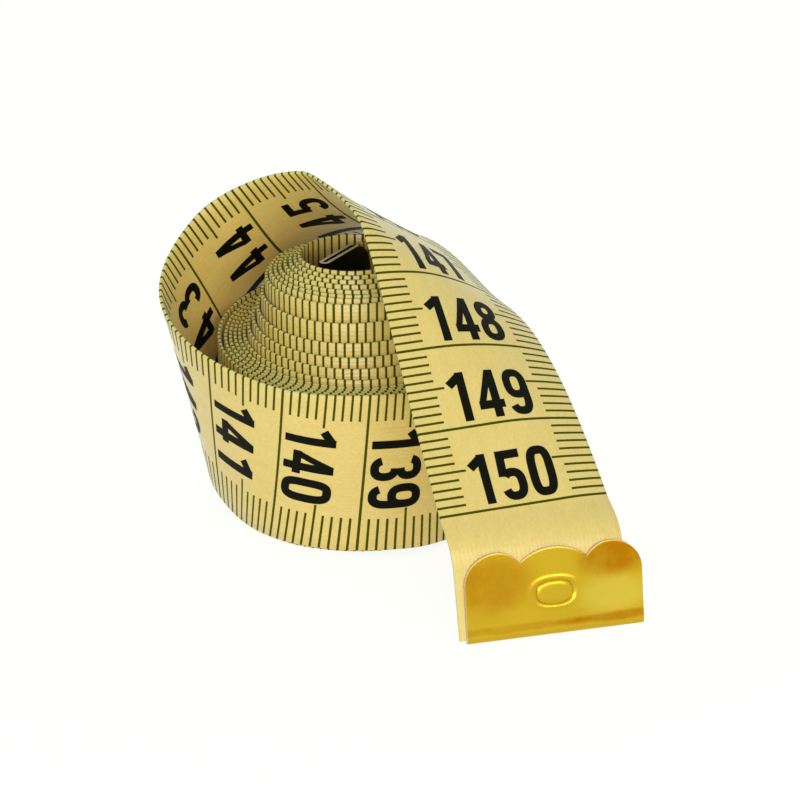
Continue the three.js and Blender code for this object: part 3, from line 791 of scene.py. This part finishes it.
def folded_plate(name, s, band, origin, across, up, materials, sheared):
    """A plate folded over the band: a grid of places across it and places round the fold. A
    leaf runs straight down from the lobed edge to a half circle and up again behind. An oval
    on the front leaf stands proud inside a narrow groove. Solidify and Bevel give the plate."""
    half, plate = s.width * 500, s.plate * 1000
    cusp = half * CUSP
    bend = band.thick / 2 + LEAF_GAP + plate / 2
    right = np.unique(np.concatenate([
        np.linspace(0, DIMPLE_REACH, 33), np.linspace(DIMPLE_REACH, cusp, 6),
        np.linspace(cusp, ROUNDS_FROM, 22),
        half - (half - ROUNDS_FROM) * np.linspace(1, 0, 14) ** 1.6]).round(5))
    x = np.concatenate([-right[:0:-1], right])
    top = lobed_top(x, s)
    down = np.concatenate([np.linspace(0, 0.16, 8)[:-1], np.linspace(0.16, 1, 72)])[:, None]
    front_z = top * (1 - down) + (bend + plate / 2) * down
    back = np.linspace(0, 1, 26)[:, None]
    back_z = top * back + (bend + plate / 2) * (1 - back)
    turn = np.radians(np.linspace(0, 180, 15)[1:-1])[:, None]
    ones = np.ones_like(x)
    z = np.concatenate([front_z, bend + plate / 2 - bend * np.sin(turn) * ones, back_z])
    y = np.concatenate([-bend * np.ones_like(front_z), -bend * np.cos(turn) * ones,
                        bend * np.ones_like(back_z)])
    xx = np.broadcast_to(x, z.shape)
    oval = (np.abs(xx / (DIMPLE_WIDE / 2)) ** DIMPLE_SQUARE
            + np.abs((z - DIMPLE_PLACE) / (DIMPLE_HIGH / 2)) ** DIMPLE_SQUARE) \
        ** (1 / DIMPLE_SQUARE)
    proud = PROUD * (1 - ease((oval - FLAT_SHARE) / (1 - FLAT_SHARE))) \
        - ring(oval, *GROOVE) + ring(oval, *LIP)
    wave = DENT * np.sin(xx * DENT_WAVE + DENT_START) * ease((z - 1) / 3)
    y = y - (proud + wave) * (y < -bend + 1e-6)
    behind = np.cross(up, across)
    points = origin + xx[..., None] * across + y[..., None] * behind + z[..., None] * up
    faces = grid_faces(*z.shape, wrap_columns=False)
    made = metres(name, points.reshape(-1, 3), faces.tolist(), materials,
                  uv=np.stack([xx, z], -1).reshape(-1, 2), chart="plate_mm")
    thick = made.modifiers.new("plate", "SOLIDIFY")
    thick.thickness, thick.offset, thick.material_offset_rim = s.plate, 0, 1
    soft = made.modifiers.new("sheared_edges", "BEVEL")
    soft.width, soft.segments, soft.limit_method, soft.material = sheared, 2, "ANGLE", 1
    soft.angle_limit = SHARP
    made.data.set_sharp_from_angle(angle=SHARP)
    return made


# The stage

WHITE, FLOOR_HALF = (1, 1, 1, 1), 3000.0
# The floor's own light where it is seen, even and on top, and where it lights the object, and
# the lamplit paper's share of the even part
FLOOR_GLOW, FLOOR_LIFT, FLOOR_BOUNCE, PAPER_SHARE = 0.72, 0.36, 0.15, 0.3
CAMERA_AIM, CAMERA_SHIFT = (0.001146, 0.0114, 0.01238), (-0.0052, -0.004)


def seen_rays(tree):
    """1 for rays that show a thing to the camera, mirrored or through it too, otherwise 0."""
    seen = add(tree, "ShaderNodeLightPath", out="Is Camera Ray")
    rays = seen.node.outputs
    for kind in ("Is Glossy Ray", "Is Transmission Ray"):
        seen = add(tree, "ShaderNodeMath", {0: seen, 1: rays[kind]}, operation="MAXIMUM")
    return seen


def paper_floor(s):
    """Pale matt paper: white with soft shadows to the camera and in reflections, and grey with
    a little light of its own to the object above it."""
    material, tree = blank("matt_paper_floor")
    grain = add(tree, "ShaderNodeTexNoise", {"Scale": 900.0})
    tone = toned(tree, grain, list(s.floor), Value=(0.98, 1.0))
    matt = add(tree, "ShaderNodeBsdfDiffuse", {"Color": tone})
    glow, lift, bounce = (add(tree, "ShaderNodeEmission", {"Color": WHITE, "Strength": much})
                          for much in (FLOOR_GLOW, FLOOR_LIFT, FLOOR_BOUNCE))
    lit = add(tree, "ShaderNodeMixShader", {0: PAPER_SHARE, 1: glow, 2: matt})
    shown = add(tree, "ShaderNodeAddShader", {0: lit, 1: lift})
    table = add(tree, "ShaderNodeAddShader", {0: matt, 1: bounce})
    pick = add(tree, "ShaderNodeMixShader", {0: seen_rays(tree), 1: table, 2: shown})
    add(tree, "ShaderNodeOutputMaterial", {"Surface": pick})
    return material


def surroundings(s):
    """A world that is white to the camera and in reflections, and lights softly from all round."""
    world = bpy.data.worlds.new("studio")
    world.use_nodes = True
    tree = world.node_tree
    tree.nodes.clear()
    sky = add(tree, "ShaderNodeBackground", {"Color": list(s.shade), "Strength": s.sky})
    white = add(tree, "ShaderNodeBackground", {"Color": WHITE, "Strength": 1.0})
    pick = add(tree, "ShaderNodeMixShader", {0: seen_rays(tree), 1: sky, 2: white})
    add(tree, "ShaderNodeOutputWorld", {"Surface": pick})
    return world


def lamp(name, power, tint, wide, high, place, turn):
    """A rectangular lamp, turned by these degrees about x, y and z."""
    data = bpy.data.lights.new(name, "AREA")
    data.shape, data.size, data.size_y = "RECTANGLE", wide, high
    data.energy, data.color = power, tint[:3]
    made = linked(name, data)
    made.location, made.rotation_euler = place, [math.radians(a) for a in turn]


def camera(s):
    """The camera: back from the point aimed at along a line raised by its elevation."""
    data = bpy.data.cameras.new("camera")
    data.lens, data.sensor_width, data.sensor_fit = s.lens, 36, "HORIZONTAL"
    data.shift_x, data.shift_y = CAMERA_SHIFT
    data.clip_start, data.clip_end = 0.01, 20
    made = linked("camera", data)
    back, up = math.cos(s.elevation) * s.distance, math.sin(s.elevation) * s.distance
    made.location = np.array(CAMERA_AIM) + (0, -back, up)
    made.rotation_euler = (math.pi / 2 - s.elevation, 0, 0)
    return made


# The operators

def settings(context):
    """The scene's own settings of the band, the print, the clips and the stage."""
    scene = context.scene
    return scene.tape_band, scene.tape_print, scene.tape_clip, scene.tape_stage


def lifts(piece, band):
    """Bakes the piece's place into its mesh. The hinge's place and axis and a direction across the
    hinge, six millimetres long, are worked out but not used.
    """
    reach = 0.006
    place, axis = np.array(HINGE["pos_m"]), np.array(HINGE["axis"])
    along = band.at(FOLD + 0.5, 0.0) - band.at(FOLD - 0.5, 0.0)
    along = unit(along - axis * (along @ axis)) * reach
    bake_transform(piece)


class TAPE_OT_band(bpy.types.Operator):
    """Makes the printed band, wound part and loose end"""
    bl_idname = "tape.band"
    bl_label = "Make the band"

    def execute(self, context):
        s, p, _, _ = settings(context)
        band = Band(s)
        materials = [coated_cloth(s), cut_edge(s),
                     ink("roller_ink_lines", p.lines, s.thread * 1000, thin=0.16,
                         roughness=0.5)]
        tick, line = p.tick * 1000, p.line * 1000
        wound = strip("band_wound", band, *cross_places(START, SEAM, tick, line), materials)
        end = strip("band_end", band, *cross_places(SEAM, TIP - SHORT, tick, line, between=2),
                    materials, splits=3)
        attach(wound, "wound_tape")
        lifts(end, band)
        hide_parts("tape_coil", "tape_loop")
        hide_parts("tape_tail")
        return {"FINISHED"}


class TAPE_OT_numbers(bpy.types.Operator):
    """Prints the numbers on both faces of the band"""
    bl_idname = "tape.numbers"
    bl_label = "Print the numbers"

    def execute(self, context):
        s, p, _, _ = settings(context)
        band = Band(s)
        black = ink("roller_ink_numbers", p.digits, s.thread * 1000, thin=0.25, roughness=0.45)
        seam = int(SEAM // 10)
        wound = numbers("numbers_wound", band, p,
                        [*AT_START, *range(SEEN_AGAIN, seam + 1)], black)
        end = numbers("numbers_end", band, p, range(seam + 1, BLANK // 10 + 1), black)
        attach(wound, "wound_tape")
        lifts(end, band)
        return {"FINISHED"}


class TAPE_OT_clips(bpy.types.Operator):
    """Makes the clip on each end of the band"""
    bl_idname = "tape.clips"
    bl_label = "Make the clips"

    def execute(self, context):
        s, _, c, _ = settings(context)
        band = Band(s)
        steel = sheared_steel(c)
        end = folded_plate("clip_end", c, band, CLIP_FOOT + band.shift, CLIP_ACROSS, CLIP_UP,
                           [brass_plate(c), steel], END_SOFT)
        chord = np.array([*band.chord, 0])
        foot = np.array([*(band.hole - band.chord * CHORD_REACH
                           - band.chord_right * CHORD_OFFSET), band.core + band.half])
        # The start clip's plate is coloured nearly black, as painted shade of the coil's hole
        start = folded_plate("clip_start", c, band, foot + band.shift,
                             np.array([0, 0, 1.0]), chord, [dark_plate(c), steel], START_SOFT)
        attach(end, "free_end")
        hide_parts("end_clip")
        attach(start, "wound_tape")
        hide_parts("start_clip")
        return {"FINISHED"}


class TAPE_OT_stage(bpy.types.Operator):
    """Makes the floor, the lamps, the surroundings and the camera"""
    bl_idname = "tape.stage"
    bl_label = "Make the stage"

    def execute(self, context):
        s = settings(context)[3]
        scene = context.scene
        scene.view_settings.view_transform = "Standard"
        corners = np.array([(-1, -1, 0), (1, -1, 0), (1, 1, 0), (-1, 1, 0)]) * FLOOR_HALF
        floor = metres("floor", corners, [(0, 1, 2, 3)], [paper_floor(s)])
        scene.world = surroundings(s)
        lamp("key", s.key, s.key_colour, 0.55, 0.3, (-0.09, -0.95, 0.28), (74, 0, -5))
        lamp("fill", s.fill, s.fill_colour, 0.4, 0.3, (0.44, -0.83, 0.34), (71, 0, 28))
        scene.camera = camera(s)
        return {"FINISHED"}


class TAPE_PT_panel(bpy.types.Panel):
    """The pieces of the tape measure"""
    bl_idname = "TAPE_PT_panel"
    bl_label = "Tape Measure"
    bl_space_type = "VIEW_3D"
    bl_region_type = "UI"
    bl_category = "Tape Measure"

    def draw(self, context):
        for operator in OPERATORS:
            self.layout.operator(operator.bl_idname)


GROUPS = {"tape_band": TapeBandSettings, "tape_print": TapePrintSettings,
          "tape_clip": TapeClipSettings, "tape_stage": TapeStageSettings}
OPERATORS = (TAPE_OT_stage, TAPE_OT_band, TAPE_OT_numbers, TAPE_OT_clips)
CLASSES = (*GROUPS.values(), *OPERATORS, TAPE_PT_panel)


def register():
    for cls in CLASSES:
        bpy.utils.register_class(cls)
    for name, group in GROUPS.items():
        setattr(bpy.types.Scene, name, PointerProperty(type=group))


def unregister():
    for name in GROUPS:
        delattr(bpy.types.Scene, name)
    for cls in reversed(CLASSES):
        bpy.utils.unregister_class(cls)


def main():
    """Makes every piece."""
    register()
    bpy.ops.tape.stage()
    bpy.ops.tape.band()
    bpy.ops.tape.numbers()
    bpy.ops.tape.clips()


if __name__ == "__main__":
    main()
